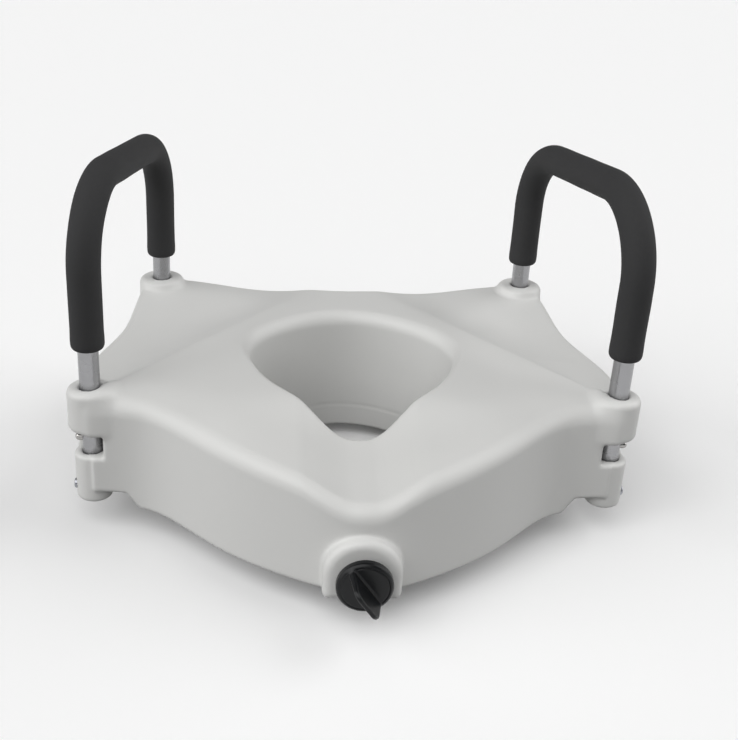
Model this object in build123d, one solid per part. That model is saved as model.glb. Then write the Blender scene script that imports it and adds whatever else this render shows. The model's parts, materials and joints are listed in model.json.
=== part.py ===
from build123d import *
import math
import os

os.makedirs("parts", exist_ok=True)

# A raised toilet seat: a hollow moulded seat, two lift-out arms and a screw clamp at the front.
# Millimetres. X is across the seat, Y runs from the clamp knob (front, -Y) to the back, Z is up.
# While the parts are drawn, y = 0 is at the front arm legs and z = 0 is the flat of the base.

# ---- Driving dimensions -------------------------------------------------------------------

WALL = 3.5                 # wall of the blow-moulded shell
TOP = 118.0                # height of the pads above the base
EDGE_RADIUS = 12.0         # rounding of the top edge all round
NOSE_Y = -150.0            # front of the base
REAR_Y = 246.0             # middle of the concave rear edge

FRONT_LEG = (245.5, 0.0)   # axes of the arm legs, right-hand side
REAR_LEG = (203.5, 271.0)
FRONT_EAR_RADIUS = 21.5    # upper part of each front ear
REAR_EAR_RADIUS = 24.5
EARS = ((FRONT_LEG, FRONT_EAR_RADIUS), (REAR_LEG, REAR_EAR_RADIUS))
EAR_BLEND = 5.0            # rounding between an ear and the walls beside it
FOOT_RADIUS = 17.0         # lower part of every ear
FOOT_Z = 2.0
NOTCH_Z = (52.0, 75.0)     # finger gap in every ear
STEP_X = 205.0             # beyond this the underside steps up
STEP_Z = 15.0

FLANGE_Z = -16.0           # splash guard round the hole, below the base
FLANGE_WALL = 4.0
RIM_RADIUS = 6.0           # rounding where the top runs down into the hole

TUBE_RADIUS = 9.5
TUBE_WALL = 1.6
TUBE_END_Z = 7.0
BORE_RADIUS = 10.0
BORE_FLOOR_Z = 5.0
ARM_FRONT_Z = 307.0        # where the centre lines of leg and handrail cross
ARM_REAR_Z = 274.0
BEND_RADIUS = 71.0
GRIP_RADIUS = 15.5
GRIP_FRONT_Z = 157.0       # lower ends of the foam grip
GRIP_REAR_Z = 145.0

BUTTON_Z = 65.0
BUTTON_RADIUS = 3.7
BUTTON_CENTRE = 12.2       # centre of the button's dome from the leg axis
LEAF_X = 7.2               # outer face of the button's leaf spring from the leg axis
LEAF = 0.8
ARM_SCREW_Z = 14.0
SCREW_RADIUS = 2.5
SCREW_HEAD_RADIUS = 5.0
SCREW_SEAT_X = FOOT_RADIUS - 1   # where the screw heads bear, from the leg axis

HOUSING_HALF_WIDTH = 34.0
HOUSING_TOP = 59.0
HOUSING_Y = -160.0         # front face of the clamp housing
HOUSING_ROUND = 7.0

KNOB_Z = 27.0              # height of the clamp screw
KNOB_RADIUS = 24.2
KNOB_FACE_Y = -178.8
KNOB_BACK_Y = -171.0
KNOB_HUB_RADIUS = 11.0
FIN_BASE = 21.5            # half-lengths of the fin at the disc and at its outer edge
FIN_TIP = 15.0
FIN_HEIGHT = 27.0
FIN_THICKNESS = 4.6
FIN_LEAN = 36.0            # the top of the fin leans towards -X, degrees
CLAMP_SCREW_RADIUS = 4.0
ROLL_PIN_RADIUS = 1.5
ROLL_PIN_Y = (KNOB_BACK_Y + HOUSING_Y) / 2

POCKET_HALF_WIDTH = 28.0   # hollow under the nose that the clamp slides in
POCKET_Y = (-128.0, -58.0)
POCKET_TOP = 48.0
CLIP_Y = (POCKET_Y[0] + 0.3, POCKET_Y[0] + 1.5)
CLIP_RADIUS = 7.5
GUIDE_WALL = 2.0
GUIDE_HALF_WIDTH = POCKET_HALF_WIDTH - 0.3
GUIDE_SCREWS = [(x, y) for x in (-16, 16) for y in (-120, -65)]
JAW_Y = (-84.0, -62.0)
JAW_BOTTOM = -29.0
JAW_HALF_WIDTH = 20.0
NUT_Y = (JAW_Y[0] + 7, JAW_Y[0] + 13.5)
NUT_HALF_WIDTH = 6.5

HOOK_X = 66.0
HOOK_Y = 174.0
HOOK_WIDTH = 30.0
HOOK_WALL = 3.0
HOOK_PLATE_Y = (HOOK_Y, HOOK_Y + 38)
HOOK_SCREWS = [(HOOK_X - 8, HOOK_Y + 27), (HOOK_X + 8, HOOK_Y + 27)]
SMALL_SCREW_RADIUS = 2.0   # screws of the guide and the hooks
SMALL_HEAD_RADIUS = 3.6
RIM_PADS = [((124, 148), (30, 120)), ((40, 84), (-108, -90))]
PAD_STAND = 1.5            # how far the rim pads stand below the base
VENT = (0.0, 212.0)        # blow-pin hole under the back, which drains the hollow shell
VENT_RADIUS = 3.0


# ---- Helpers ------------------------------------------------------------------------------

def rod(radius, start, end, axis="Z", at=(0.0, 0.0)):
    """A round bar from start to end along an axis, at the two other coordinates."""
    length = end - start
    middle = (start + end) / 2
    if axis == "X":
        return Pos(middle, *at) * Rot(0, 90, 0) * Cylinder(radius, length)
    if axis == "Y":
        return Pos(at[0], middle, at[1]) * Rot(-90, 0, 0) * Cylinder(radius, length)
    return Pos(*at, middle) * Cylinder(radius, length)


def block(x, y, z):
    """A box between three pairs of limits."""
    size = (x[1] - x[0], y[1] - y[0], z[1] - z[0])
    middle = ((x[0] + x[1]) / 2, (y[0] + y[1]) / 2, (z[0] + z[1]) / 2)
    return Pos(*middle) * Box(*size)


def mirrored(shape):
    """The same piece on the left-hand side."""
    return mirror(shape, about=Plane.YZ)


def both(shape):
    return Compound(children=[*shape.solids(), *mirrored(shape).solids()])


def upward(face):
    return face if face.normal_at().Z > 0 else -face


def both_halves(edges):
    """A face from the right-hand half of its outline."""
    right = [piece.edge() for piece in edges]
    left = [mirrored(edge).edge() for edge in right]
    return upward(Face(Wire(right + left)))


def beside(curve, distance, count=9):
    """A smooth curve at a distance to the left of another one in the XY plane."""
    if distance == 0:
        return curve
    places = [index / (count - 1) for index in range(count)]
    points = [curve @ place + (curve % place).rotate(Axis.Z, 90) * distance for place in places]
    return Spline(*points, tangents=(curve % 0, curve % 1))


# ---- The seat shell -----------------------------------------------------------------------

def plan(inset=0.0):
    """The outline of the body seen from above, without its ears, drawn in by an inset."""
    nose = beside(Spline((0, NOSE_Y), (62, -130), (122, -90), (157, -56), (196, -26), (243, -19.5),
                         tangents=((1, 0), (1, 0))), inset)
    wing = beside(Spline((261, 10), (261, 70), (248, 121), (235, 168), (230, 210), (225, 266),
                         tangents=((0.05, 1), (-0.12, 1))), inset)
    rear = beside(Spline((192, 291), (140, 277), (85, 258), (0, REAR_Y),
                         tangents=((-1, -0.2), (-1, 0))), inset)
    return both_halves([nose, Line(nose @ 1, wing @ 0), wing, Line(wing @ 1, rear @ 0), rear])


def plan_with_ears():
    outline = plan()
    for (x, y), radius in EARS:
        outline += Pos(x, y) * Circle(radius)
        outline += Pos(-x, y) * Circle(radius)
    joins = [corner for corner in outline.vertices() if abs(corner.X) > 100]
    return upward(outline.face().fillet_2d(EAR_BLEND, joins))


def hole_plan(grow=0.0):
    """The pear-shaped hole, wide at the back and drawn in towards the front."""
    edge = Spline((0, 177), (56, 158), (92, 122), (100, 86), (92, 46), (73, 12), (50, -12), (0, -42),
                  tangents=((1, 0), (-1, 0)))
    return both_halves([beside(edge, grow, 17)])


def front_dip(inset):
    """The trough between the pads: a floor height and a radius at the nose, hole and waist."""
    sections = []
    for y, floor, radius in ((NOSE_Y - 12, 85, 70), (-38, 93, 88), (45, TOP, 150)):
        centre = (0, y, floor - inset + radius)
        sections.append(Plane(centre, z_dir=(0, 1, 0)) * Circle(radius))
    return loft(sections, ruled=True)


def wing_drop(inset):
    """The wedge taken off a wing, from the edge of its pad out and down."""
    def section(y, pad_x, foot_x, drop):
        points = [(pad_x, TOP + 0.5 - inset), (foot_x, TOP - drop - inset),
                  (300, TOP - drop - inset), (300, TOP + 40), (pad_x, TOP + 40)]
        across = Plane((0, y, 0), x_dir=(1, 0, 0), z_dir=(0, -1, 0))
        return make_face(across * Polyline(*points, close=True))
    return loft([section(24, 214, 262, 17), section(245, 110, 190, 6)], ruled=True)


def shaped(solid, inset):
    """A block of the body's outline with its dip, its lowered wings and its stepped underside."""
    solid -= front_dip(inset)
    step = block((STEP_X - inset, 320), (-60, 320), (-1, STEP_Z + inset))
    for cut in (wing_drop(inset), step):
        solid -= cut
        solid -= mirrored(cut)
    return solid


def body():
    solid = extrude(plan_with_ears(), TOP)
    solid = fillet(solid.edges().group_by(Axis.Z)[-1], EDGE_RADIUS)
    solid -= Pos(0, 0, -1) * extrude(hole_plan(), TOP + 2)
    rim = solid.faces().filter_by(Plane.XY).sort_by(Axis.Z)[-1].inner_wires()[0].edges()
    return shaped(fillet(rim, RIM_RADIUS), 0)


def hollow():
    """The space inside the shell, stepped in at the top to follow the rounded edges."""
    shoulder = TOP - EDGE_RADIUS
    space = None
    for inset, low, high in ((WALL, WALL, shoulder), (WALL + 6, shoulder, TOP - WALL)):
        step = Pos(0, 0, low) * extrude(plan(inset), high - low)
        step -= extrude(hole_plan(inset), TOP)
        space = step if space is None else space + step
    return shaped(space, WALL)


def ear_foot(leg):
    """The rounded foot below an arm leg."""
    foot = rod(FOOT_RADIUS, FOOT_Z, NOTCH_Z[0], at=leg)
    return fillet(foot.edges().sort_by(Axis.Z)[0], 4)


def finger_gap(leg, grow=0.0):
    """The gap across an ear, open outwards and away from the wing."""
    x, y = leg
    away = -1 if y == 0 else 1
    sides = sorted((y - away * (24 + grow), y + away * 40))
    return block((x - 12 - grow, x + 40), sides, (NOTCH_Z[0] - grow, NOTCH_Z[1] + grow))


def foot_trim(leg):
    """What is taken off the outer side of an ear, below its finger gap, to leave a slimmer foot."""
    x, y = leg
    away = -1 if y == 0 else 1
    sides = sorted((y - away * 10, y + away * 40))
    return block((x, x + 40), sides, (FOOT_Z - 1, NOTCH_Z[0])) - rod(FOOT_RADIUS, -10, TOP, at=leg)


def ear_cuts(leg):
    """What is taken from a right-hand ear: finger gap, slimmer foot, bore and screw hole."""
    x, y = leg
    bore = rod(BORE_RADIUS, BORE_FLOOR_Z, TOP + 5, at=leg)
    hole = rod(SCREW_RADIUS + 0.2, x, x + 30, "X", (y, ARM_SCREW_Z))
    seat = rod(SCREW_HEAD_RADIUS + 0.6, x + SCREW_SEAT_X, x + 40, "X", (y, ARM_SCREW_Z))
    return finger_gap(leg) + foot_trim(leg) + bore + hole + seat


def housing():
    """The arched boss on the nose that the knob turns against."""
    arch = Pos(0, HOUSING_TOP - HOUSING_HALF_WIDTH) * Circle(HOUSING_HALF_WIDTH)
    legs = Pos(0, (HOUSING_TOP - HOUSING_HALF_WIDTH) / 2) * Rectangle(
        2 * HOUSING_HALF_WIDTH, HOUSING_TOP - HOUSING_HALF_WIDTH)
    face = Plane((0, HOUSING_Y, 0), x_dir=(1, 0, 0), z_dir=(0, -1, 0)) * (arch + legs)
    boss = extrude(face, -34)
    front = boss.faces().sort_by(Axis.Y)[0].edges()
    return fillet(front, HOUSING_ROUND) - block((-60, 60), (HOUSING_Y - 10, 0), (-30, 0))


def pocket(grow):
    """The hollow that the clamp works in, open below."""
    return block((-POCKET_HALF_WIDTH - grow, POCKET_HALF_WIDTH + grow),
                 (POCKET_Y[0] - grow, POCKET_Y[1] + grow), (-10, POCKET_TOP + grow))


def ear_core(leg):
    """The part of an ear that is not hollow."""
    x, y = leg
    away = -1 if y == 0 else 1
    sides = sorted((y - away * (10 + WALL), y + away * 44))
    core = rod(BORE_RADIUS + WALL, 0, TOP + 1, at=leg) + finger_gap(leg, WALL)
    return core + block((x - WALL, x + 40), sides, (0, NOTCH_Z[0]))


def hook_recess(grow):
    return block((HOOK_X - HOOK_WIDTH / 2 - grow, HOOK_X + HOOK_WIDTH / 2 + grow),
                 (HOOK_PLATE_Y[0] - grow, HOOK_PLATE_Y[1] + grow), (-1, HOOK_WALL + grow))


def seat_shell():
    flange = extrude(hole_plan(FLANGE_WALL), -FLANGE_Z + 6)
    flange -= Pos(0, 0, -1) * extrude(hole_plan(), -FLANGE_Z + 8)
    solid = body() + Pos(0, 0, FLANGE_Z) * flange + housing()
    cavity = hollow() - pocket(WALL)
    cavity -= rod(CLAMP_SCREW_RADIUS + 5, NOSE_Y, POCKET_Y[0], "Y", (0, KNOB_Z))
    solid -= pocket(0)
    solid -= rod(CLAMP_SCREW_RADIUS + 0.5, HOUSING_Y - 1, POCKET_Y[0] + 1, "Y", (0, KNOB_Z))
    for x, y in GUIDE_SCREWS:
        cavity -= rod(5, POCKET_TOP, POCKET_TOP + 14, at=(x, y))
        solid -= rod(SMALL_SCREW_RADIUS, POCKET_TOP - 1, POCKET_TOP + 11, at=(x, y))

    for side in (lambda shape: shape, mirrored):
        for leg in (FRONT_LEG, REAR_LEG):
            solid += side(ear_foot(leg))
            solid -= side(ear_cuts(leg))
            cavity -= side(ear_core(leg))
        solid -= side(hook_recess(0))
        cavity -= side(hook_recess(WALL))
        for spot in HOOK_SCREWS:
            solid -= side(rod(SMALL_SCREW_RADIUS, 0, 20, at=spot))
            cavity -= side(rod(5.5, 0, 24, at=spot))
    vent = rod(VENT_RADIUS, -1, WALL + 1, at=VENT)
    return solid - cavity - vent


# ---- The arms -----------------------------------------------------------------------------

def arm_plane():
    """Upright plane through the two right-hand legs; its x runs from the front leg to the rear."""
    run = (REAR_LEG[0] - FRONT_LEG[0], REAR_LEG[1] - FRONT_LEG[1], 0)
    return Plane((*FRONT_LEG, 0), x_dir=run, z_dir=(run[1], -run[0], 0))


LEG_SPACING = math.dist(FRONT_LEG, REAR_LEG)


def arm_path(front_z, rear_z):
    """The arm's centre line between two heights on its legs."""
    points = [(0, front_z), (0, ARM_FRONT_Z), (LEG_SPACING, ARM_REAR_Z), (LEG_SPACING, rear_z)]
    return arm_plane() * FilletPolyline(*points, radius=BEND_RADIUS)


def along_arm(front_z, rear_z, outer, inner):
    path = arm_path(front_z, rear_z)
    ring = Plane((*FRONT_LEG, front_z)) * (Circle(outer) - Circle(inner))
    return sweep(ring, path=path)


def arm_tube():
    tube = along_arm(TUBE_END_Z, TUBE_END_Z, TUBE_RADIUS, TUBE_RADIUS - TUBE_WALL)
    for x, y in (FRONT_LEG, REAR_LEG):
        tube -= rod(BUTTON_RADIUS + 0.15, x, x + 15, "X", (y, BUTTON_Z))
        tube -= rod(SCREW_RADIUS + 0.2, x, x + 15, "X", (y, ARM_SCREW_Z))
    return tube


def arm_grip():
    grip = along_arm(GRIP_FRONT_Z, GRIP_REAR_Z, GRIP_RADIUS, TUBE_RADIUS)
    ends = [edge for edge in grip.edges().filter_by(GeomType.CIRCLE)
            if abs(edge.radius - GRIP_RADIUS) < 0.01 and edge.center().Z < GRIP_FRONT_Z + 1]
    return fillet(ends, 2.5)


def end_plugs():
    plugs = []
    for leg in (FRONT_LEG, REAR_LEG):
        plug = rod(TUBE_RADIUS - TUBE_WALL, TUBE_END_Z, 26, at=leg)
        plug += rod(TUBE_RADIUS, BORE_FLOOR_Z, TUBE_END_Z, at=leg)
        plug -= rod(SCREW_RADIUS, leg[0] - 5, leg[0] + 20, "X", (leg[1], ARM_SCREW_Z))
        plugs.append(plug.solid())
    return Compound(children=plugs)


def arm_screws():
    screws = []
    for x, y in (FRONT_LEG, REAR_LEG):
        seat = x + SCREW_SEAT_X
        shank = rod(SCREW_RADIUS, x - 5, seat, "X", (y, ARM_SCREW_Z))
        head = rod(SCREW_HEAD_RADIUS, seat, seat + 3, "X", (y, ARM_SCREW_Z))
        head = fillet(head.edges().sort_by(Axis.X)[-1], 1.6)
        slot = block((seat + 1.6, seat + 4), (y - 3, y + 3), (ARM_SCREW_Z - 0.6, ARM_SCREW_Z + 0.6))
        cross = Pos(0, y, ARM_SCREW_Z) * Rot(90, 0, 0) * Pos(0, -y, -ARM_SCREW_Z) * slot
        screws.append((shank + head - slot - cross).solid())
    return Compound(children=screws)


def snap_button(leg):
    x, y = leg
    pin = rod(BUTTON_RADIUS, x + LEAF_X, x + BUTTON_CENTRE, "X", (y, BUTTON_Z))
    return pin + Pos(x + BUTTON_CENTRE, y, BUTTON_Z) * Sphere(BUTTON_RADIUS)


def snap_spring(leg):
    """A bent leaf spring inside the tube; its bend is below the button."""
    x, y = leg
    face = LEAF_X - LEAF / 2
    points = [(face, BUTTON_Z + 6), (face, BUTTON_Z - 8), (0, BUTTON_Z - 34),
              (-face, BUTTON_Z - 8), (-face, BUTTON_Z + 6)]
    leaf = Plane((x, y, 0), x_dir=(1, 0, 0), z_dir=(0, -1, 0)) * trace(
        FilletPolyline(*points, radius=2.5), LEAF)
    return extrude(leaf, 3, both=True)


# ---- The clamp ----------------------------------------------------------------------------

def clamp_knob():
    disc = rod(KNOB_RADIUS, KNOB_FACE_Y, KNOB_BACK_Y, "Y", (0, KNOB_Z))
    disc = chamfer(disc.edges().sort_by(Axis.Y)[0], 2.0)
    hub = rod(KNOB_HUB_RADIUS, KNOB_BACK_Y, HOUSING_Y - 1.7, "Y", (0, KNOB_Z))
    outline = Polyline((-FIN_BASE, 1), (-FIN_BASE, 0), (-FIN_TIP, -FIN_HEIGHT),
                       (FIN_TIP, -FIN_HEIGHT), (FIN_BASE, 0), (FIN_BASE, 1), close=True)
    fin = extrude(make_face(outline), FIN_THICKNESS / 2, both=True)
    corners = fin.edges().filter_by(Axis.Z).group_by(Axis.Y)[0]
    fin = fillet(corners, 7)
    fin = Plane((0, 0, 0), x_dir=(0, 0, 1), z_dir=(-1, 0, 0)) * fin
    fin = Pos(0, KNOB_FACE_Y, KNOB_Z) * (Rot(0, -FIN_LEAN, 0) * fin)
    knob = disc + hub + fin
    knob -= rod(CLAMP_SCREW_RADIUS, KNOB_FACE_Y + 3, HOUSING_Y, "Y", (0, KNOB_Z))
    return knob - rod(ROLL_PIN_RADIUS, -12, 12, "X", (ROLL_PIN_Y, KNOB_Z))


def knob_roll_pin():
    return rod(ROLL_PIN_RADIUS, -10.5, 10.5, "X", (ROLL_PIN_Y, KNOB_Z))


def clamp_screw():
    screw = rod(CLAMP_SCREW_RADIUS, KNOB_FACE_Y + 3, POCKET_Y[1] - 1, "Y", (0, KNOB_Z))
    groove = rod(CLAMP_SCREW_RADIUS + 1, *CLIP_Y, "Y", (0, KNOB_Z))
    groove -= rod(CLAMP_SCREW_RADIUS - 0.8, *CLIP_Y, "Y", (0, KNOB_Z))
    return screw - groove - rod(ROLL_PIN_RADIUS, -12, 12, "X", (ROLL_PIN_Y, KNOB_Z))


def retaining_clip():
    clip = rod(CLIP_RADIUS, *CLIP_Y, "Y", (0, KNOB_Z))
    clip -= rod(CLAMP_SCREW_RADIUS - 0.8, *CLIP_Y, "Y", (0, KNOB_Z))
    mouth = block((-2.6, 2.6), CLIP_Y, (KNOB_Z - 10, KNOB_Z))
    return clip - mouth


def knob_washer():
    faces = (HOUSING_Y - 1.5, HOUSING_Y)
    washer = rod(10.0, *faces, "Y", (0, KNOB_Z))
    return washer - rod(CLAMP_SCREW_RADIUS + 0.5, *faces, "Y", (0, KNOB_Z))


def clamp_guide():
    """A channel of bent sheet fixed in the pocket, that the jaw slides in."""
    y = (POCKET_Y[0] + 2.5, POCKET_Y[1] - 0.5)
    inside = GUIDE_HALF_WIDTH - GUIDE_WALL
    channel = block((-GUIDE_HALF_WIDTH, GUIDE_HALF_WIDTH), y, (1, POCKET_TOP))
    channel -= block((-inside, inside), (y[0] - 1, y[1] + 1), (0, POCKET_TOP - GUIDE_WALL))
    for spot in GUIDE_SCREWS:
        channel -= rod(SMALL_SCREW_RADIUS + 0.2, POCKET_TOP - 5, POCKET_TOP + 1, at=spot)
    return channel


def guide_screws():
    screws = []
    for spot in GUIDE_SCREWS:
        head_top = POCKET_TOP - GUIDE_WALL
        screws.append((rod(SMALL_SCREW_RADIUS, head_top, POCKET_TOP + 10, at=spot)
                       + rod(SMALL_HEAD_RADIUS, head_top - 2, head_top, at=spot)).solid())
    return Compound(children=screws)


def clamp_jaw():
    half = GUIDE_HALF_WIDTH - GUIDE_WALL - 0.5
    slide = block((-half, half), JAW_Y, (8, 42))
    across = (-JAW_HALF_WIDTH, JAW_HALF_WIDTH)
    leg = block(across, (JAW_Y[0], JAW_Y[0] + 10), (JAW_BOTTOM, 8))
    toe = block(across, (JAW_Y[0] - 9, JAW_Y[0]), (JAW_BOTTOM, JAW_BOTTOM + 6))
    ribs = block((-2, 2), (JAW_Y[0] + 10, JAW_Y[1]), (-12, 8))
    jaw = slide + leg + toe + ribs
    jaw = fillet(jaw.edges().filter_by(Axis.X).sort_by(Axis.Z)[0:2], 2)
    jaw -= rod(CLAMP_SCREW_RADIUS + 0.6, JAW_Y[0] - 1, JAW_Y[1] + 1, "Y", (0, KNOB_Z))
    return jaw - block((-NUT_HALF_WIDTH, NUT_HALF_WIDTH), NUT_Y, (KNOB_Z - NUT_HALF_WIDTH, 43))


def clamp_nut():
    nut = block((-NUT_HALF_WIDTH, NUT_HALF_WIDTH), NUT_Y,
                (KNOB_Z - NUT_HALF_WIDTH, KNOB_Z + NUT_HALF_WIDTH))
    return nut - rod(CLAMP_SCREW_RADIUS + 0.08, NUT_Y[0] - 1, NUT_Y[1] + 1, "Y", (0, KNOB_Z))


def jaw_pad():
    return block((-18, 18), (JAW_Y[0] - 4, JAW_Y[0]), (JAW_BOTTOM + 6, -2))


# ---- Hooks and pads under the base --------------------------------------------------------

def rear_hook():
    """A right-hand hook that reaches down inside the bowl and back under its rim."""
    x = (HOOK_X - HOOK_WIDTH / 2, HOOK_X + HOOK_WIDTH / 2)
    plate = block(x, HOOK_PLATE_Y, (0, HOOK_WALL))
    leg = block(x, (HOOK_Y, HOOK_Y + HOOK_WALL), (JAW_BOTTOM, HOOK_WALL))
    toe = block(x, (HOOK_Y, HOOK_Y + 16), (JAW_BOTTOM, JAW_BOTTOM + HOOK_WALL))
    hook = plate + leg + toe
    for spot in HOOK_SCREWS:
        hook -= rod(SMALL_SCREW_RADIUS + 0.2, -1, HOOK_WALL + 1, at=spot)
        hook -= rod(SMALL_HEAD_RADIUS + 0.2, -1, 1.5, at=spot)
    return hook


def rear_hook_pad():
    return block((HOOK_X - 12, HOOK_X + 12), (HOOK_Y + HOOK_WALL, HOOK_Y + HOOK_WALL + 3),
                 (JAW_BOTTOM + HOOK_WALL + 1, -4))


def hook_screws():
    screws = [rod(SMALL_SCREW_RADIUS, 1.5, 18, at=spot) + rod(SMALL_HEAD_RADIUS, 0, 1.5, at=spot)
              for spot in HOOK_SCREWS]
    return both(Compound(children=[screw.solid() for screw in screws]))


def rim_pads():
    pads = [block(x, y, (-PAD_STAND, 0)) for x, y in RIM_PADS]
    return both(Compound(children=[pad.solid() for pad in pads]))


# ---- Assembly -----------------------------------------------------------------------------

parts = {
    "seat_shell": seat_shell(),
    "clamp_knob": clamp_knob(),
    "knob_roll_pin": knob_roll_pin(),
    "knob_washer": knob_washer(),
    "clamp_screw": clamp_screw(),
    "retaining_clip": retaining_clip(),
    "clamp_guide": clamp_guide(),
    "guide_screws": guide_screws(),
    "clamp_jaw": clamp_jaw(),
    "clamp_nut": clamp_nut(),
    "jaw_pad": jaw_pad(),
    "rear_hook_screws": hook_screws(),
    "rim_pads": rim_pads(),
}
right_side = {
    "arm_tube": arm_tube(),
    "arm_grip": arm_grip(),
    "arm_end_plugs": end_plugs(),
    "arm_screws": arm_screws(),
    "front_snap_button": snap_button(FRONT_LEG),
    "rear_snap_button": snap_button(REAR_LEG),
    "front_snap_spring": snap_spring(FRONT_LEG),
    "rear_snap_spring": snap_spring(REAR_LEG),
    "rear_hook": rear_hook(),
    "rear_hook_pad": rear_hook_pad(),
}
for name, shape in right_side.items():
    parts["right_" + name] = shape
    parts["left_" + name] = mirrored(shape)

box = Compound(children=[solid for shape in parts.values() for solid in shape.solids()]).bounding_box()
origin = Pos(0, -(box.min.Y + box.max.Y) / 2, -box.min.Z)
for name, shape in parts.items():
    export_step(origin * shape, "parts/" + name + ".step")
print("moved by", [round(value, 4) for value in tuple(origin.position)])
print("size", box.size)
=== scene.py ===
import json
import math

import bpy
import numpy as np
from mathutils import Matrix, Vector

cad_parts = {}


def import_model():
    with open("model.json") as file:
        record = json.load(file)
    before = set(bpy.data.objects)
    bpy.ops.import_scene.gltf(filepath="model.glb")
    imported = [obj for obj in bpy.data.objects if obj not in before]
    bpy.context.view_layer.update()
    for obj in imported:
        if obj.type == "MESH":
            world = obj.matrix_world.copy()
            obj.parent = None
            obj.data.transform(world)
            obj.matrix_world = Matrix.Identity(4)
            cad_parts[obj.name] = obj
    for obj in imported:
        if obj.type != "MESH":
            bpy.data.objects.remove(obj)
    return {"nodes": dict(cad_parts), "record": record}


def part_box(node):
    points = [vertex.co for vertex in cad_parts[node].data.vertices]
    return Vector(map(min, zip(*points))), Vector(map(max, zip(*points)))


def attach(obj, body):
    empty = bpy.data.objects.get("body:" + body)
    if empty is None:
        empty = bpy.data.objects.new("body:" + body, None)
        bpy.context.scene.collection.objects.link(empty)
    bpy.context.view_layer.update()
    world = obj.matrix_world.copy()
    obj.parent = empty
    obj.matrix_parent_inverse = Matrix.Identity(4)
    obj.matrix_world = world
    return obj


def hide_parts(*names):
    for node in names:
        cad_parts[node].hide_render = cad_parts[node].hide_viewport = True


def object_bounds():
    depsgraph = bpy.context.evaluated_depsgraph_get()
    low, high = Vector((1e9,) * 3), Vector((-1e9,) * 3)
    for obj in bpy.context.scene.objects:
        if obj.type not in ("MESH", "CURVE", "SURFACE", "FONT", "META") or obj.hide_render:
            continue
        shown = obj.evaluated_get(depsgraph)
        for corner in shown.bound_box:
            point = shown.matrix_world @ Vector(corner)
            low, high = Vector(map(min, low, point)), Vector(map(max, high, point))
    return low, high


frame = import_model()
cad_low, cad_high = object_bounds()

# A raised toilet seat. Shapes are drawn in millimetres: X across the seat, Y towards the back,
# Z up, with y = 0 at the front arm legs and z = 0 at the flat of the base.

MM = 0.001
button_low, button_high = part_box("right_front_snap_button")
pads_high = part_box("rim_pads")[1]
ORIGIN = np.array([0.0, (button_low.y + button_high.y) / 2, pads_high.z])


# ---- Dimensions ---------------------------------------------------------------------------

TOP = 118.0
NOSE_Y = -150.0
REAR_Y = 246.0
FRONT_LEG = (245.5, 0.0)
REAR_LEG = (203.5, 271.0)
FRONT_EAR_RADIUS = 21.5
REAR_EAR_RADIUS = 24.5
FRONT_EAR_BLEND = 10.0     # valley between an ear's upper part and the walls beside it
REAR_EAR_BLEND = 5.0
EARS = ((FRONT_LEG, FRONT_EAR_RADIUS, FRONT_EAR_BLEND), (REAR_LEG, REAR_EAR_RADIUS, REAR_EAR_BLEND))
FOOT_RADIUS = 17.0
FOOT_Z = 2.0
NOTCH_Z = (52.0, 75.0)
STEP_X = 205.0
STEP_Z = 15.0
FLANGE_Z = -16.0
FLANGE_WALL = 4.0

TUBE_RADIUS = 9.5
BORE_RADIUS = 10.0
BORE_FLOOR_Z = 5.0
ARM_FRONT_Z = 307.0
ARM_REAR_Z = 274.0
BEND_RADIUS = 71.0
GRIP_RADIUS = 15.5
GRIP_FRONT_Z = 157.0
GRIP_REAR_Z = 145.0

ARM_SCREW_Z = 14.0
SCREW_HEAD_RADIUS = 5.0
SCREW_SEAT_X = FOOT_RADIUS - 1

HOUSING_HALF_WIDTH = 34.0
HOUSING_TOP = 59.0
HOUSING_Y = -160.0
HOUSING_ROUND = 7.0

KNOB_Z = 27.0
KNOB_RADIUS = 24.2
KNOB_FACE_Y = -178.8
KNOB_BACK_Y = -171.0
KNOB_HUB_RADIUS = 11.0
FIN_BASE = 21.5
FIN_TIP = 15.0
FIN_HEIGHT = 27.0
FIN_THICKNESS = 4.6
FIN_LEAN = 36.0
CLAMP_SCREW_RADIUS = 4.0
THREAD_PITCH = 4.0
THREAD_DEPTH = 0.75

POCKET_HALF_WIDTH = 28.0
POCKET_Y = (-128.0, -58.0)
POCKET_TOP = 48.0
HOOK_X = 66.0
HOOK_Y = 174.0
HOOK_WIDTH = 30.0
HOOK_WALL = 3.0
HOOK_DEPTH = 38.0
VENT = (0.0, 212.0)
VENT_RADIUS = 3.0

SEAT_STEP = 2.0     # spacing of the seat shell's mesh


# ---- Curves in the plane ------------------------------------------------------------------

def spline(points, start, end, count):
    """A smooth curve through points, with a direction at each end."""
    points = np.array(points, float)
    steps = np.linalg.norm(np.diff(points, axis=0), axis=1)
    knots = np.concatenate([[0], np.cumsum(steps)])
    size = len(points)
    system = np.zeros((size, size))
    wanted = np.zeros((size, 2))
    system[0, 0] = system[-1, -1] = 1
    wanted[0] = np.array(start) / np.hypot(*start)
    wanted[-1] = np.array(end) / np.hypot(*end)
    for i in range(1, size - 1):
        before, after = steps[i - 1], steps[i]
        system[i, i - 1:i + 2] = 1 / before, 2 / before + 2 / after, 1 / after
        wanted[i] = 3 * ((points[i] - points[i - 1]) / before ** 2
                         + (points[i + 1] - points[i]) / after ** 2)
    slopes = np.linalg.solve(system, wanted)
    place = np.linspace(0, knots[-1], count)
    part = np.clip(np.searchsorted(knots, place, side="right") - 1, 0, size - 2)
    t = ((place - knots[part]) / steps[part])[:, None]
    h = steps[part][:, None]
    return (points[part] * (1 + 2 * t) * (1 - t) ** 2 + slopes[part] * h * t * (1 - t) ** 2
            + points[part + 1] * t ** 2 * (3 - 2 * t) + slopes[part + 1] * h * t ** 2 * (t - 1))


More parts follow.
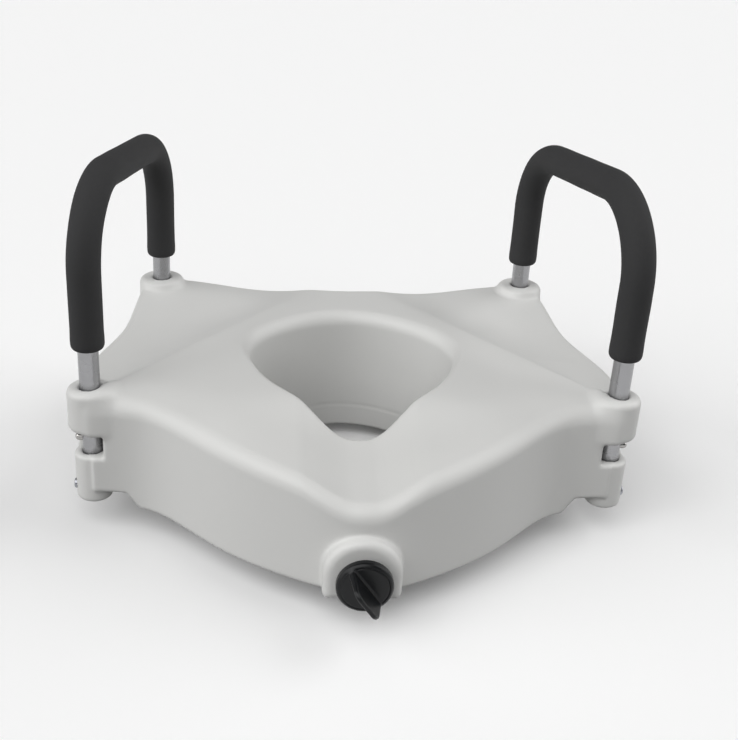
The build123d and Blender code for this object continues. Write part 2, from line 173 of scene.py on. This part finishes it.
def both_sides(half):
    """A closed outline from its right-hand half, which starts and ends at x = 0."""
    left = half[-2:0:-1] * (-1, 1)
    return np.concatenate([half, left])


def plan():
    nose = spline([(0, NOSE_Y), (62, -130), (122, -90), (157, -56), (196, -26), (243, -19.5)],
                  (1, 0), (1, 0), 70)
    wing = spline([(261, 10), (261, 70), (248, 121), (235, 168), (230, 210), (225, 266)],
                  (0.05, 1), (-0.12, 1), 60)
    rear = spline([(192, 291), (140, 277), (85, 258), (0, REAR_Y)], (-1, -0.2), (-1, 0), 50)
    return both_sides(np.concatenate([nose, wing, rear]))


def hole_plan():
    half = spline([(0, 177), (56, 158), (92, 122), (100, 86), (92, 46), (73, 12), (50, -12), (0, -42)],
                  (1, 0), (-1, 0), 120)
    return both_sides(half)


class PlanDistance:
    """Distance to a closed outline, negative inside, read from a fine grid."""

    def __init__(self, outline, low=(0, -200), high=(300, 320), step=1.0):
        self.low, self.step = np.array(low, float), step
        xs = np.arange(low[0], high[0] + step, step)
        ys = np.arange(low[1], high[1] + step, step)
        x, y = (v.ravel() for v in np.meshgrid(xs, ys, indexing="ij"))
        best = np.full(x.shape, 1e9)
        inside = np.zeros(x.shape, bool)
        for a, b in zip(outline, np.roll(outline, -1, 0)):
            edge = b - a
            t = np.clip(((x - a[0]) * edge[0] + (y - a[1]) * edge[1]) / (edge @ edge + 1e-12), 0, 1)
            best = np.minimum(best, (x - a[0] - t * edge[0]) ** 2 + (y - a[1] - t * edge[1]) ** 2)
            crosses = (a[1] > y) != (b[1] > y)
            reach = a[0] + (y - a[1]) * edge[0] / (edge[1] if edge[1] else 1e-12)
            inside ^= crosses & (x < reach)
        self.grid = (np.sqrt(best) * np.where(inside, -1, 1)).reshape(len(xs), len(ys))

    def __call__(self, x, y):
        u = np.clip((np.abs(x) - self.low[0]) / self.step, 0, self.grid.shape[0] - 1.001)
        v = np.clip((y - self.low[1]) / self.step, 0, self.grid.shape[1] - 1.001)
        i, j = u.astype(int), v.astype(int)
        u, v = u - i, v - j
        g = self.grid
        return ((g[i, j] * (1 - v) + g[i, j + 1] * v) * (1 - u)
                + (g[i + 1, j] * (1 - v) + g[i + 1, j + 1] * v) * u)


# ---- Solids as distance fields ------------------------------------------------------------

def common(a, b, r):
    """The part inside both fields, with the edge between them rounded to radius r."""
    return np.minimum(np.maximum(a, b), -r) + np.hypot(np.maximum(a + r, 0), np.maximum(b + r, 0))


def union(a, b, r):
    """Both parts, with the valley between them rounded to radius r."""
    return -common(-a, -b, r)


def without(a, b, r):
    return common(a, -b, r)


def slab(v, low, high):
    return np.abs(v - (low + high) / 2) - (high - low) / 2


def column(x, y, at, radius):
    return np.hypot(x - at[0], y - at[1]) - radius


def smooth_step(v, low, high):
    t = np.clip((v - low) / (high - low), 0, 1)
    return t * t * (3 - 2 * t)


def mesh_from_field(name, field, low, high, step, mirror=False):
    """The surface where a field is 0, as a closed mesh of quads pulled onto the surface."""
    axes = [np.arange(a, b + step, step, dtype=np.float32) for a, b in zip(low, high)]
    if mirror:
        half = np.arange(0, high[0] + step, step, dtype=np.float32)
        axes[0] = np.concatenate([-half[:0:-1], half])
    nx, ny, nz = (len(axis) for axis in axes)
    values = np.empty((nx, ny, nz), np.float32)
    first = len(half) - 1 if mirror else 0
    for i in range(first, nx):
        y, z = np.meshgrid(axes[1], axes[2], indexing="ij")
        values[i] = field(np.full(y.shape, axes[0][i], np.float32), y, z)
    if mirror:
        values[:first] = values[:first:-1]
    inside = values < 0
    corners = [inside[i:nx - 1 + i, j:ny - 1 + j, k:nz - 1 + k]
               for i in (0, 1) for j in (0, 1) for k in (0, 1)]
    total = sum(c.astype(np.int8) for c in corners)
    cells = np.argwhere((total > 0) & (total < 8))
    number = np.full((nx - 1, ny - 1, nz - 1), -1, np.int32)
    number[tuple(cells.T)] = np.arange(len(cells))
    places = np.zeros((len(cells), 3))
    hits = np.zeros(len(cells))
    for axis in range(3):
        side = [a for a in range(3) if a != axis]
        for u in (0, 1):
            for v in (0, 1):
                start = cells.copy()
                start[:, side[0]] += u
                start[:, side[1]] += v
                end = start.copy()
                end[:, axis] += 1
                a, b = values[tuple(start.T)], values[tuple(end.T)]
                cut = (a < 0) != (b < 0)
                t = np.where(cut, a / np.where(cut, a - b, 1), 0)
                point = start.astype(float)
                point[:, axis] += t
                places[cut] += point[cut]
                hits += cut
    places = places / hits[:, None] * step + [axis[0] for axis in axes]
    faces = []
    for axis in range(3):
        side = [(axis + 1) % 3, (axis + 2) % 3]
        low_cut = [slice(None)] * 3
        high_cut = [slice(None)] * 3
        low_cut[axis], high_cut[axis] = slice(None, -1), slice(1, None)
        a, b = inside[tuple(low_cut)], inside[tuple(high_cut)]
        edges = np.argwhere(a != b)
        shape = np.array(number.shape)
        keep = np.all((edges[:, side] > 0) & (edges[:, side] < shape[side]), axis=1)
        edges = edges[keep]
        ring = []
        for u, v in ((1, 1), (0, 1), (0, 0), (1, 0)):
            cell = edges.copy()
            cell[:, side[0]] -= u
            cell[:, side[1]] -= v
            ring.append(number[tuple(cell.T)])
        quad = np.stack(ring, 1)
        flip = ~a[tuple(edges.T)]
        quad[flip] = quad[flip][:, ::-1]
        faces.append(quad)
    faces = np.concatenate(faces)
    reach = 0.35 * step
    for _ in range(3):
        here = field(*places.T)
        slope = np.stack([(field(*(places + shift).T) - field(*(places - shift).T)) / (2 * reach)
                          for shift in np.eye(3) * reach], 1)
        length = np.maximum((slope ** 2).sum(1), 0.2)
        move = -here[:, None] * slope / length[:, None]
        places += np.clip(move, -0.6 * step, 0.6 * step)
    return mesh_object(name, places, faces)


def mesh_object(name, places, faces):
    """A mesh in the frame's metres from millimetres."""
    mesh = bpy.data.meshes.new(name)
    places = np.asarray(places, float) * MM + ORIGIN
    faces = [tuple(int(i) for i in face) for face in faces]
    mesh.from_pydata(places.tolist(), [], faces)
    mesh.validate()
    mesh.polygons.foreach_set("use_smooth", [True] * len(mesh.polygons))
    mesh.update()
    piece = bpy.data.objects.new(name, mesh)
    bpy.context.scene.collection.objects.link(piece)
    return piece


# ---- The seat shell -----------------------------------------------------------------------

to_edge = PlanDistance(plan())
to_hole = PlanDistance(hole_plan())


def follow(v, places, values):
    """A smooth rise through a few values."""
    places, values = np.array(places, float), np.array(values, float)
    steps = np.diff(values) / np.diff(places)
    slopes = np.concatenate([[steps[0]], (steps[1:] + steps[:-1]) / 2, [steps[-1]]])
    v = np.clip(v, places[0], places[-1])
    part = np.clip(np.searchsorted(places, v, side="right") - 1, 0, len(places) - 2)
    h = places[part + 1] - places[part]
    t = (v - places[part]) / h
    return (values[part] * (1 + 2 * t) * (1 - t) ** 2 + slopes[part] * h * t * (1 - t) ** 2
            + values[part + 1] * t ** 2 * (3 - 2 * t) + slopes[part + 1] * h * t ** 2 * (t - 1))


def top_height(x, y):
    """Height of the seat's top: two pads, the dip between them and a lower wing outside each."""
    x = np.abs(x)
    inward = np.maximum(-to_edge(x, y), 0)
    pad = TOP - 8 * np.exp(-(inward / 34) ** 2) * smooth_step(-y, -30, 30)
    pad_edge = 221 - (y - 17) / 1.24
    wing_foot = np.minimum(238 - (y - 100) / 1.46, 240)
    drop = 15 - 7 * smooth_step(y, 150, 265)
    part = (x - pad_edge) / np.maximum(wing_foot - pad_edge, 10)
    part = np.minimum((part + np.hypot(part, 0.07)) / 2, 1)
    pad = pad - drop * part * (2 - part)
    floor = follow(y, (-160, -100, -40, 10, 60), (84, 86, 92, 108, 126))
    rise = 16 * smooth_step(x, 8, 58) + 0.13 * np.maximum(x - 46, 0)
    return -np.logaddexp(-pad / 3, -(floor + rise) / 3) * 3


def seat_field(x, y, z):
    x = np.abs(x)
    edge, hole = to_edge(x, y), to_hole(x, y)
    above = (z - top_height(x, y)) * 0.93
    solid = common(edge, above, 14 - 6 * smooth_step(y, -20, 50))
    under = STEP_Z * smooth_step(x, STEP_X - 6, STEP_X + 10)
    solid = common(solid, under - z, 4)
    for leg, radius, blend in EARS:
        away = -1 if leg[1] == 0 else 1
        upper = common(column(x, y, leg, radius), slab(z, NOTCH_Z[1], TOP), 6)
        foot = common(column(x, y, leg, FOOT_RADIUS), slab(z, FOOT_Z, NOTCH_Z[0]), 4)
        outer = np.maximum(leg[0] - x, slab(away * (y - leg[1]), -10, 60))
        trim = common(common(outer, z - NOTCH_Z[0], 1), -column(x, y, leg, FOOT_RADIUS), 1)
        solid = without(solid, trim, 2)
        solid = union(solid, upper, blend)
        solid = union(solid, foot, 3)
        gap = common(common(leg[0] - 12 - x, slab(away * (y - leg[1]), -24, 60), 2),
                     slab(z, *NOTCH_Z), 2)
        solid = without(solid, gap, 3)
    arch = np.where(z > HOUSING_TOP - HOUSING_HALF_WIDTH,
                    np.hypot(x, z - HOUSING_TOP + HOUSING_HALF_WIDTH) - HOUSING_HALF_WIDTH,
                    x - HOUSING_HALF_WIDTH)
    arch = common(arch, -z, 6)
    boss = common(common(arch, HOUSING_Y - y, HOUSING_ROUND), y + 120, 1)
    solid = union(solid, boss, 2.5)
    solid = common(solid, -hole, 5 + 8 * smooth_step(y, 50, 110))
    flange = common(common(hole - FLANGE_WALL, -hole, 1.4), slab(z, FLANGE_Z, 8), 1.4)
    solid = union(solid, flange, 2)
    for leg in (FRONT_LEG, REAR_LEG):
        bore = np.maximum(column(x, y, leg, BORE_RADIUS), BORE_FLOOR_Z - z)
        solid = without(solid, bore, 1.2)
        seat = np.maximum(np.hypot(y - leg[1], z - ARM_SCREW_Z) - SCREW_HEAD_RADIUS - 0.6,
                          leg[0] + SCREW_SEAT_X - x)
        solid = without(solid, seat, 0.6)
    pocket = np.maximum(np.maximum(x - POCKET_HALF_WIDTH, slab(y, *POCKET_Y)), z - POCKET_TOP)
    solid = without(solid, pocket, 1.5)
    screw = np.maximum(np.hypot(x, z - KNOB_Z) - CLAMP_SCREW_RADIUS - 0.5, y - POCKET_Y[0] - 1)
    solid = without(solid, screw, 0.8)
    recess = np.maximum(np.maximum(slab(x, HOOK_X - HOOK_WIDTH / 2, HOOK_X + HOOK_WIDTH / 2),
                                   slab(y, HOOK_Y, HOOK_Y + HOOK_DEPTH)), z - HOOK_WALL)
    solid = without(solid, recess, 0.6)
    vent = np.maximum(column(x, y, VENT, VENT_RADIUS), z - 6)
    return without(solid, vent, 0.8)


def seat_shell():
    low = (-270.0, NOSE_Y - 16.0, FLANGE_Z - 4.0)
    high = (270.0, 296.0, TOP + 6.0)
    return mesh_from_field("seat_skin", seat_field, low, high, SEAT_STEP, mirror=True)


# ---- The arms' foam grips -----------------------------------------------------------------

def rounded_path(corners, radius, step):
    """Points along a line through corners, with an arc at each inner corner."""
    corners = np.array(corners, float)
    points = [corners[0]]
    for before, corner, after in zip(corners, corners[1:], corners[2:]):
        back = (before - corner) / np.linalg.norm(before - corner)
        on = (after - corner) / np.linalg.norm(after - corner)
        half = math.acos(np.clip(back @ on, -1, 1)) / 2
        middle = (back + on) / np.linalg.norm(back + on)
        centre = corner + middle * radius / math.sin(half)
        sweep = math.pi - 2 * half
        count = max(4, int(radius * sweep / step))
        start = corner + back * radius / math.tan(half) - centre
        across = on * (radius / math.tan(half)) + corner - centre
        side = across - start * (across @ start) / radius ** 2
        side = side / np.linalg.norm(side) * radius
        for k in range(count + 1):
            turn = sweep * k / count
            points.append(centre + start * math.cos(turn) + side * math.sin(turn))
    points.append(corners[-1])
    dense = [points[0]]
    for a, b in zip(points, points[1:]):
        count = max(1, int(np.linalg.norm(b - a) / step))
        dense += [a + (b - a) * (k + 1) / count for k in range(count)]
    return np.array(dense)


def arm_path(side, front_z, rear_z, step):
    front = (side * FRONT_LEG[0], FRONT_LEG[1])
    rear = (side * REAR_LEG[0], REAR_LEG[1])
    corners = [(*front, front_z), (*front, ARM_FRONT_Z), (*rear, ARM_REAR_Z), (*rear, rear_z)]
    return rounded_path(corners, BEND_RADIUS, step)


def along(path, profile, sides):
    """Rings of points round a path: profile(distance, angle) is the radius there."""
    ahead = np.gradient(path, axis=0)
    ahead /= np.linalg.norm(ahead, axis=1)[:, None]
    flat = np.cross(path[-1] - path[0], (0, 0, 1))
    flat /= np.linalg.norm(flat)
    other = np.cross(ahead, flat)
    run = np.concatenate([[0], np.cumsum(np.linalg.norm(np.diff(path, axis=0), axis=1))])
    angle = np.arange(sides) * 2 * math.pi / sides
    radius = profile(run[:, None], angle[None, :])[..., None]
    ring = flat[None, None, :] * np.cos(angle)[None, :, None]
    ring = ring + other[:, None, :] * np.sin(angle)[None, :, None]
    return path[:, None, :] + ring * radius


def tube_faces(rings, sides, first=0):
    faces = []
    for i in range(rings - 1):
        for j in range(sides):
            k = (j + 1) % sides
            a = first + i * sides
            faces.append((a + j, a + k, a + sides + k, a + sides + j))
    return faces


def arm_grip(side, name):
    """A closed foam sleeve whose ends are rounded and turn in to the tube."""
    sides = 64
    path = arm_path(side, GRIP_FRONT_Z, GRIP_REAR_Z, 2.0)
    total = np.linalg.norm(np.diff(path, axis=0), axis=1).sum()
    ease = 4.5

    def outer(run, angle):
        end = np.minimum(run, total - run)
        rounded = np.clip(end / ease, 0, 1)
        lip = ease * 0.62 * (1 - np.sqrt(np.maximum(1 - (1 - rounded) ** 2, 0)))
        swell = 0.25 * np.exp(-((end - 9) / 6) ** 2)
        ripple = 0.10 * np.sin(run * 0.11 + 2.1) * np.cos(angle * 2 + run * 0.02)
        return GRIP_RADIUS - 0.3 - lip + swell + ripple

    extra = [0.15, 0.5, 1.0, 1.7, 2.7]
    run_start = [path[0] + (path[1] - path[0]) / np.linalg.norm(path[1] - path[0]) * e for e in extra]
    run_end = [path[-1] + (path[-2] - path[-1]) / np.linalg.norm(path[-2] - path[-1]) * e
               for e in reversed(extra)]
    keep = path[2:-2]
    path = np.concatenate([path[:1], run_start, keep, run_end, path[-1:]])
    skin = along(path, outer, sides)
    bore = along(path, lambda run, angle: np.full((len(run), angle.shape[1]), TUBE_RADIUS + 0.02),
                 sides)
    rings = len(path)
    faces = tube_faces(rings, sides)
    faces += [tuple(reversed(face)) for face in tube_faces(rings, sides, rings * sides)]
    for ring in (0, rings - 1):
        for j in range(sides):
            k = (j + 1) % sides
            outer_a, outer_b = ring * sides + j, ring * sides + k
            inner_a, inner_b = outer_a + rings * sides, outer_b + rings * sides
            face = (outer_a, inner_a, inner_b, outer_b)
            faces.append(face if ring == 0 else tuple(reversed(face)))
    places = np.concatenate([skin.reshape(-1, 3), bore.reshape(-1, 3)])
    return mesh_object(name, places, faces)


# ---- The clamp's knob and screw -----------------------------------------------------------

def knob_field(x, y, z):
    disc = common(np.hypot(x, z - KNOB_Z) - KNOB_RADIUS, slab(y, KNOB_FACE_Y, KNOB_BACK_Y), 1.2)
    bevel = (np.hypot(x, z - KNOB_Z) - KNOB_RADIUS - (y - KNOB_FACE_Y) + 2.0) * 0.7071
    disc = common(disc, bevel, 0.6)
    disc = without(disc, common(np.abs(np.hypot(x, z - KNOB_Z) - 20.4) - 0.55,
                                y - KNOB_FACE_Y - 0.5, 0.2), 0.3)
    hub = common(np.hypot(x, z - KNOB_Z) - KNOB_HUB_RADIUS, slab(y, KNOB_BACK_Y - 1, HOUSING_Y - 1.7), 0.6)
    lean = math.radians(FIN_LEAN)
    up = -x * math.sin(lean) + (z - KNOB_Z) * math.cos(lean)
    aside = x * math.cos(lean) + (z - KNOB_Z) * math.sin(lean)
    out = KNOB_FACE_Y - y
    tip = out - FIN_HEIGHT
    taper = (np.abs(up) - FIN_BASE + out * (FIN_BASE - FIN_TIP) / FIN_HEIGHT) * 0.972
    blade = common(tip, taper, 7)
    blade = common(blade, -out - 3, 0.5)
    thickness = FIN_THICKNESS / 2 + 0.5 - 0.9 * np.clip(out / FIN_HEIGHT, 0, 1)
    fin = common(blade, np.abs(aside) - thickness, 1.5)
    knob = union(union(disc, hub, 1.5), fin, 2.2)
    return without(knob, np.maximum(np.hypot(x, z - KNOB_Z) - CLAMP_SCREW_RADIUS, KNOB_FACE_Y + 3 - y), 0.3)


def clamp_knob():
    low = (-26.0, KNOB_FACE_Y - FIN_HEIGHT - 2, KNOB_Z - 26)
    high = (26.0, HOUSING_Y, KNOB_Z + 26)
    return mesh_from_field("clamp_knob_grip", knob_field, low, high, 0.6)


def clamp_screw():
    """A screw with a helical thread over the part that the nut travels on."""
    low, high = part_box("clamp_screw")
    start, end = ((v.y - ORIGIN[1]) / MM for v in (low, high))
    turns = 32
    step = 0.25
    rows = np.arange(start, end + step / 2, step)
    angle = np.arange(turns) * 2 * math.pi / turns
    y, turn = np.meshgrid(rows, angle, indexing="ij")
    phase = (y / THREAD_PITCH - turn / (2 * math.pi)) % 1
    tooth = np.clip(2.6 * np.abs(phase - 0.5) - 0.25, 0, THREAD_DEPTH) / THREAD_DEPTH
    threaded = smooth_step(y, POCKET_Y[0] + 4, POCKET_Y[0] + 7) * (1 - smooth_step(y, end - 2, end))
    radius = CLAMP_SCREW_RADIUS - THREAD_DEPTH * tooth * threaded
    wall = POCKET_Y[0]
    groove = smooth_step(y, wall + 0.2, wall + 0.4) - smooth_step(y, wall + 1.4, wall + 1.6)
    radius = np.minimum(radius, CLAMP_SCREW_RADIUS - 0.8 * groove)
    radius = np.minimum(radius, CLAMP_SCREW_RADIUS - 0.8 + np.minimum(end - y, y - start))
    places = np.stack([radius * np.sin(turn), y, KNOB_Z + radius * np.cos(turn)], -1).reshape(-1, 3)
    faces = tube_faces(len(rows), turns)
    faces = [tuple(reversed(face)) for face in faces]
    faces.append(tuple(range(turns)))
    faces.append(tuple(reversed(range((len(rows) - 1) * turns, len(rows) * turns))))
    return mesh_object("clamp_screw_thread", places, faces)


# ---- Small screws -------------------------------------------------------------------------

def pan_head_field(x, y, z):
    """A pan head on the X axis, its seat at x = 0, with a cross recess."""
    dome = common(np.hypot(y, z) - SCREW_HEAD_RADIUS, x - 3.0, 1.9)
    dome = common(dome, -x, 0.3)
    depth = 3.0 - x
    width = 0.62 - 0.1 * depth
    arms = np.minimum(np.maximum(np.abs(y) - width, np.abs(z) - 2.9 + 0.55 * depth),
                      np.maximum(np.abs(z) - width, np.abs(y) - 2.9 + 0.55 * depth))
    cross = np.maximum(arms, depth - 2.0)
    head = without(dome, cross, 0.15)
    shank = np.maximum(np.hypot(y, z) - 2.5, slab(x, -SCREW_SEAT_X - 5, 1))
    return np.minimum(head, shank)


def arm_screws(side, name):
    """Two cross-head screws, one through each foot of an arm."""
    one = mesh_from_field("pattern", pan_head_field, (-SCREW_SEAT_X - 6, -6, -6), (4, 6, 6), 0.3)
    mesh = one.data
    co = np.empty(len(mesh.vertices) * 3)
    mesh.vertices.foreach_get("co", co)
    co = (co.reshape(-1, 3) - ORIGIN) / MM
    quads = [tuple(face.vertices) for face in mesh.polygons]
    bpy.data.objects.remove(one)
    places, faces = [], []
    for x, y in (FRONT_LEG, REAR_LEG):
        start = sum(len(p) for p in places)
        at = co * (side, 1, 1) + (side * (x + SCREW_SEAT_X), y, ARM_SCREW_Z)
        places.append(at)
        faces += [tuple(start + i for i in (face if side > 0 else face[::-1])) for face in quads]
    return mesh_object(name, np.concatenate(places), faces)


# ---- Materials ----------------------------------------------------------------------------

def material(name, colour, roughness, metallic=0.0, vary=0.04, scale=60.0, bump=0.0, bump_scale=400.0,
             specular=0.5):
    """A finish with a fine unevenness of tone and surface. Colours are linear."""
    finish = bpy.data.materials.new(name)
    finish.use_nodes = True
    nodes, links = finish.node_tree.nodes, finish.node_tree.links
    shader = nodes["Principled BSDF"]
    shader.inputs["Metallic"].default_value = metallic
    shader.inputs["Specular IOR Level"].default_value = specular
    where = nodes.new("ShaderNodeTexCoord")
    cloud = nodes.new("ShaderNodeTexNoise")
    cloud.inputs["Scale"].default_value = scale
    cloud.inputs["Detail"].default_value = 3
    links.new(where.outputs["Object"], cloud.inputs["Vector"])
    tone = nodes.new("ShaderNodeMapRange")
    tone.inputs["To Min"].default_value = 1 - vary
    tone.inputs["To Max"].default_value = 1 + vary
    links.new(cloud.outputs["Fac"], tone.inputs["Value"])
    tint = nodes.new("ShaderNodeVectorMath")
    tint.operation = "SCALE"
    tint.inputs[0].default_value = colour
    links.new(tone.outputs["Result"], tint.inputs["Scale"])
    links.new(tint.outputs["Vector"], shader.inputs["Base Color"])
    rough = nodes.new("ShaderNodeMapRange")
    rough.inputs["To Min"].default_value = max(0.02, roughness - 0.06)
    rough.inputs["To Max"].default_value = min(1.0, roughness + 0.06)
    links.new(cloud.outputs["Fac"], rough.inputs["Value"])
    links.new(rough.outputs["Result"], shader.inputs["Roughness"])
    if bump:
        grain = nodes.new("ShaderNodeTexNoise")
        grain.inputs["Scale"].default_value = bump_scale
        grain.inputs["Detail"].default_value = 2
        links.new(where.outputs["Object"], grain.inputs["Vector"])
        relief = nodes.new("ShaderNodeBump")
        relief.inputs["Strength"].default_value = bump
        relief.inputs["Distance"].default_value = 0.0005
        links.new(grain.outputs["Fac"], relief.inputs["Height"])
        links.new(relief.outputs["Normal"], shader.inputs["Normal"])
    return finish


finishes = {
    "white_polyethylene": material("moulded_polyethylene", (0.70, 0.70, 0.685), 0.42, vary=0.012,
                                   scale=14, bump=0.12, bump_scale=260),
    "black_plastic": material("black_plastic", (0.0035, 0.004, 0.0048), 0.32, bump=0.1, bump_scale=900,
                              specular=0.3),
    "foam": material("black_foam", (0.034, 0.034, 0.035), 0.82, vary=0.12, scale=300, bump=0.45,
                     bump_scale=1400, specular=0.3),
    "satin_aluminium": material("satin_aluminium", (0.36, 0.36, 0.37), 0.27, metallic=1.0,
                                bump=0.06, bump_scale=1200),
    "chromed_steel": material("chromed_steel", (0.40, 0.39, 0.38), 0.10, metallic=1.0),
    "zinc_steel": material("zinc_steel", (0.36, 0.37, 0.40), 0.28, metallic=1.0, vary=0.1,
                           bump=0.05, bump_scale=700),
    "spring_steel": material("spring_steel", (0.33, 0.33, 0.34), 0.34, metallic=1.0, vary=0.08),
    "grey_rubber": material("grey_rubber", (0.08, 0.08, 0.082), 0.8, vary=0.08, bump=0.3),
    "white_nylon": material("white_nylon", (0.66, 0.66, 0.62), 0.45, vary=0.02, bump=0.08),
}


def finish_piece(piece, slot, body, *nodes):
    piece.data.materials.clear()
    piece.data.materials.append(finishes[slot])
    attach(piece, body)
    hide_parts(*nodes)


# ---- Assembly -----------------------------------------------------------------------------

slot_of = {part["node"]: part["material_slot"] for part in frame["record"]["subparts"]}
for node, piece in frame["nodes"].items():
    piece.data.materials.clear()
    piece.data.materials.append(finishes[slot_of[node]])

shell = seat_shell()
finish_piece(shell, "white_polyethylene", "seat", "seat_shell")
for side, prefix in ((1, "right"), (-1, "left")):
    grip = arm_grip(side, prefix + "_foam_grip")
    finish_piece(grip, "foam", "seat", prefix + "_arm_grip")
    screws = arm_screws(side, prefix + "_foot_screws")
    finish_piece(screws, "zinc_steel", "seat", prefix + "_arm_screws")
finish_piece(clamp_knob(), "black_plastic", "knob", "clamp_knob")
finish_piece(clamp_screw(), "zinc_steel", "knob", "clamp_screw")


# ---- Floor, light and camera --------------------------------------------------------------

def floor():
    size = 14.0
    mesh = bpy.data.meshes.new("floor")
    low = cad_low.z - 0.0005
    mesh.from_pydata([(-size, -size, low), (size, -size, low), (size, size, low), (-size, size, low)],
                     [], [(0, 1, 2, 3)])
    piece = bpy.data.objects.new("floor", mesh)
    bpy.context.scene.collection.objects.link(piece)
    paint = bpy.data.materials.new("floor_paint")
    paint.use_nodes = True
    paint.node_tree.nodes["Principled BSDF"].inputs["Base Color"].default_value = (1.0, 1.0, 1.0, 1)
    paint.node_tree.nodes["Principled BSDF"].inputs["Roughness"].default_value = 0.9
    paint.node_tree.nodes["Principled BSDF"].inputs["Specular IOR Level"].default_value = 0.1
    mesh.materials.append(paint)
    piece.visible_diffuse = False


def sun(name, round_from_front, height, strength, spread):
    """A wide distant light, at angles round from the seat's front and above the floor."""
    light = bpy.data.lights.new(name, "SUN")
    light.energy = strength
    light.angle = math.radians(spread)
    lamp = bpy.data.objects.new(name, light)
    turn, rise = math.radians(round_from_front), math.radians(height)
    towards = Vector((math.sin(turn) * math.cos(rise), -math.cos(turn) * math.cos(rise), math.sin(rise)))
    lamp.rotation_mode = "QUATERNION"
    lamp.rotation_quaternion = towards.to_track_quat("Z", "Y")
    bpy.context.scene.collection.objects.link(lamp)


def world():
    sky = bpy.data.worlds.new("studio")
    sky.use_nodes = True
    sky.node_tree.nodes["Background"].inputs["Color"].default_value = (1, 1, 1, 1)
    sky.node_tree.nodes["Background"].inputs["Strength"].default_value = 0.12
    bpy.context.scene.world = sky


def camera():
    """A long lens in front, above and a little to the left, looking down at the seat."""
    data = bpy.data.cameras.new("camera")
    data.sensor_width = 36
    data.lens = 56.53
    data.shift_x = 0.0652
    data.shift_y = -0.0182
    lens = bpy.data.objects.new("camera", data)
    yaw, pitch, roll = (math.radians(v) for v in (3.050, 25.739, 2.395))
    ahead = Vector((math.sin(yaw) * math.cos(pitch), math.cos(yaw) * math.cos(pitch), -math.sin(pitch)))
    right = Vector((math.cos(yaw), -math.sin(yaw), 0))
    up = right.cross(ahead)
    tilted = math.cos(roll) * right + math.sin(roll) * up
    upright = -math.sin(roll) * right + math.cos(roll) * up
    turn = Matrix((tilted, upright, -ahead)).transposed().to_4x4()
    place = Vector((-85.741, -953.063, 612.374)) * MM + Vector(ORIGIN)
    lens.matrix_world = Matrix.Translation(place) @ turn
    bpy.context.scene.collection.objects.link(lens)
    bpy.context.scene.camera = lens


floor()
sun("right", 98, 30, 1.55, 60)
sun("left", -80, 27, 1.4, 60)
sun("front", -24, 48, 1.5, 60)
world()
camera()
bpy.context.scene.view_settings.view_transform = "Standard"
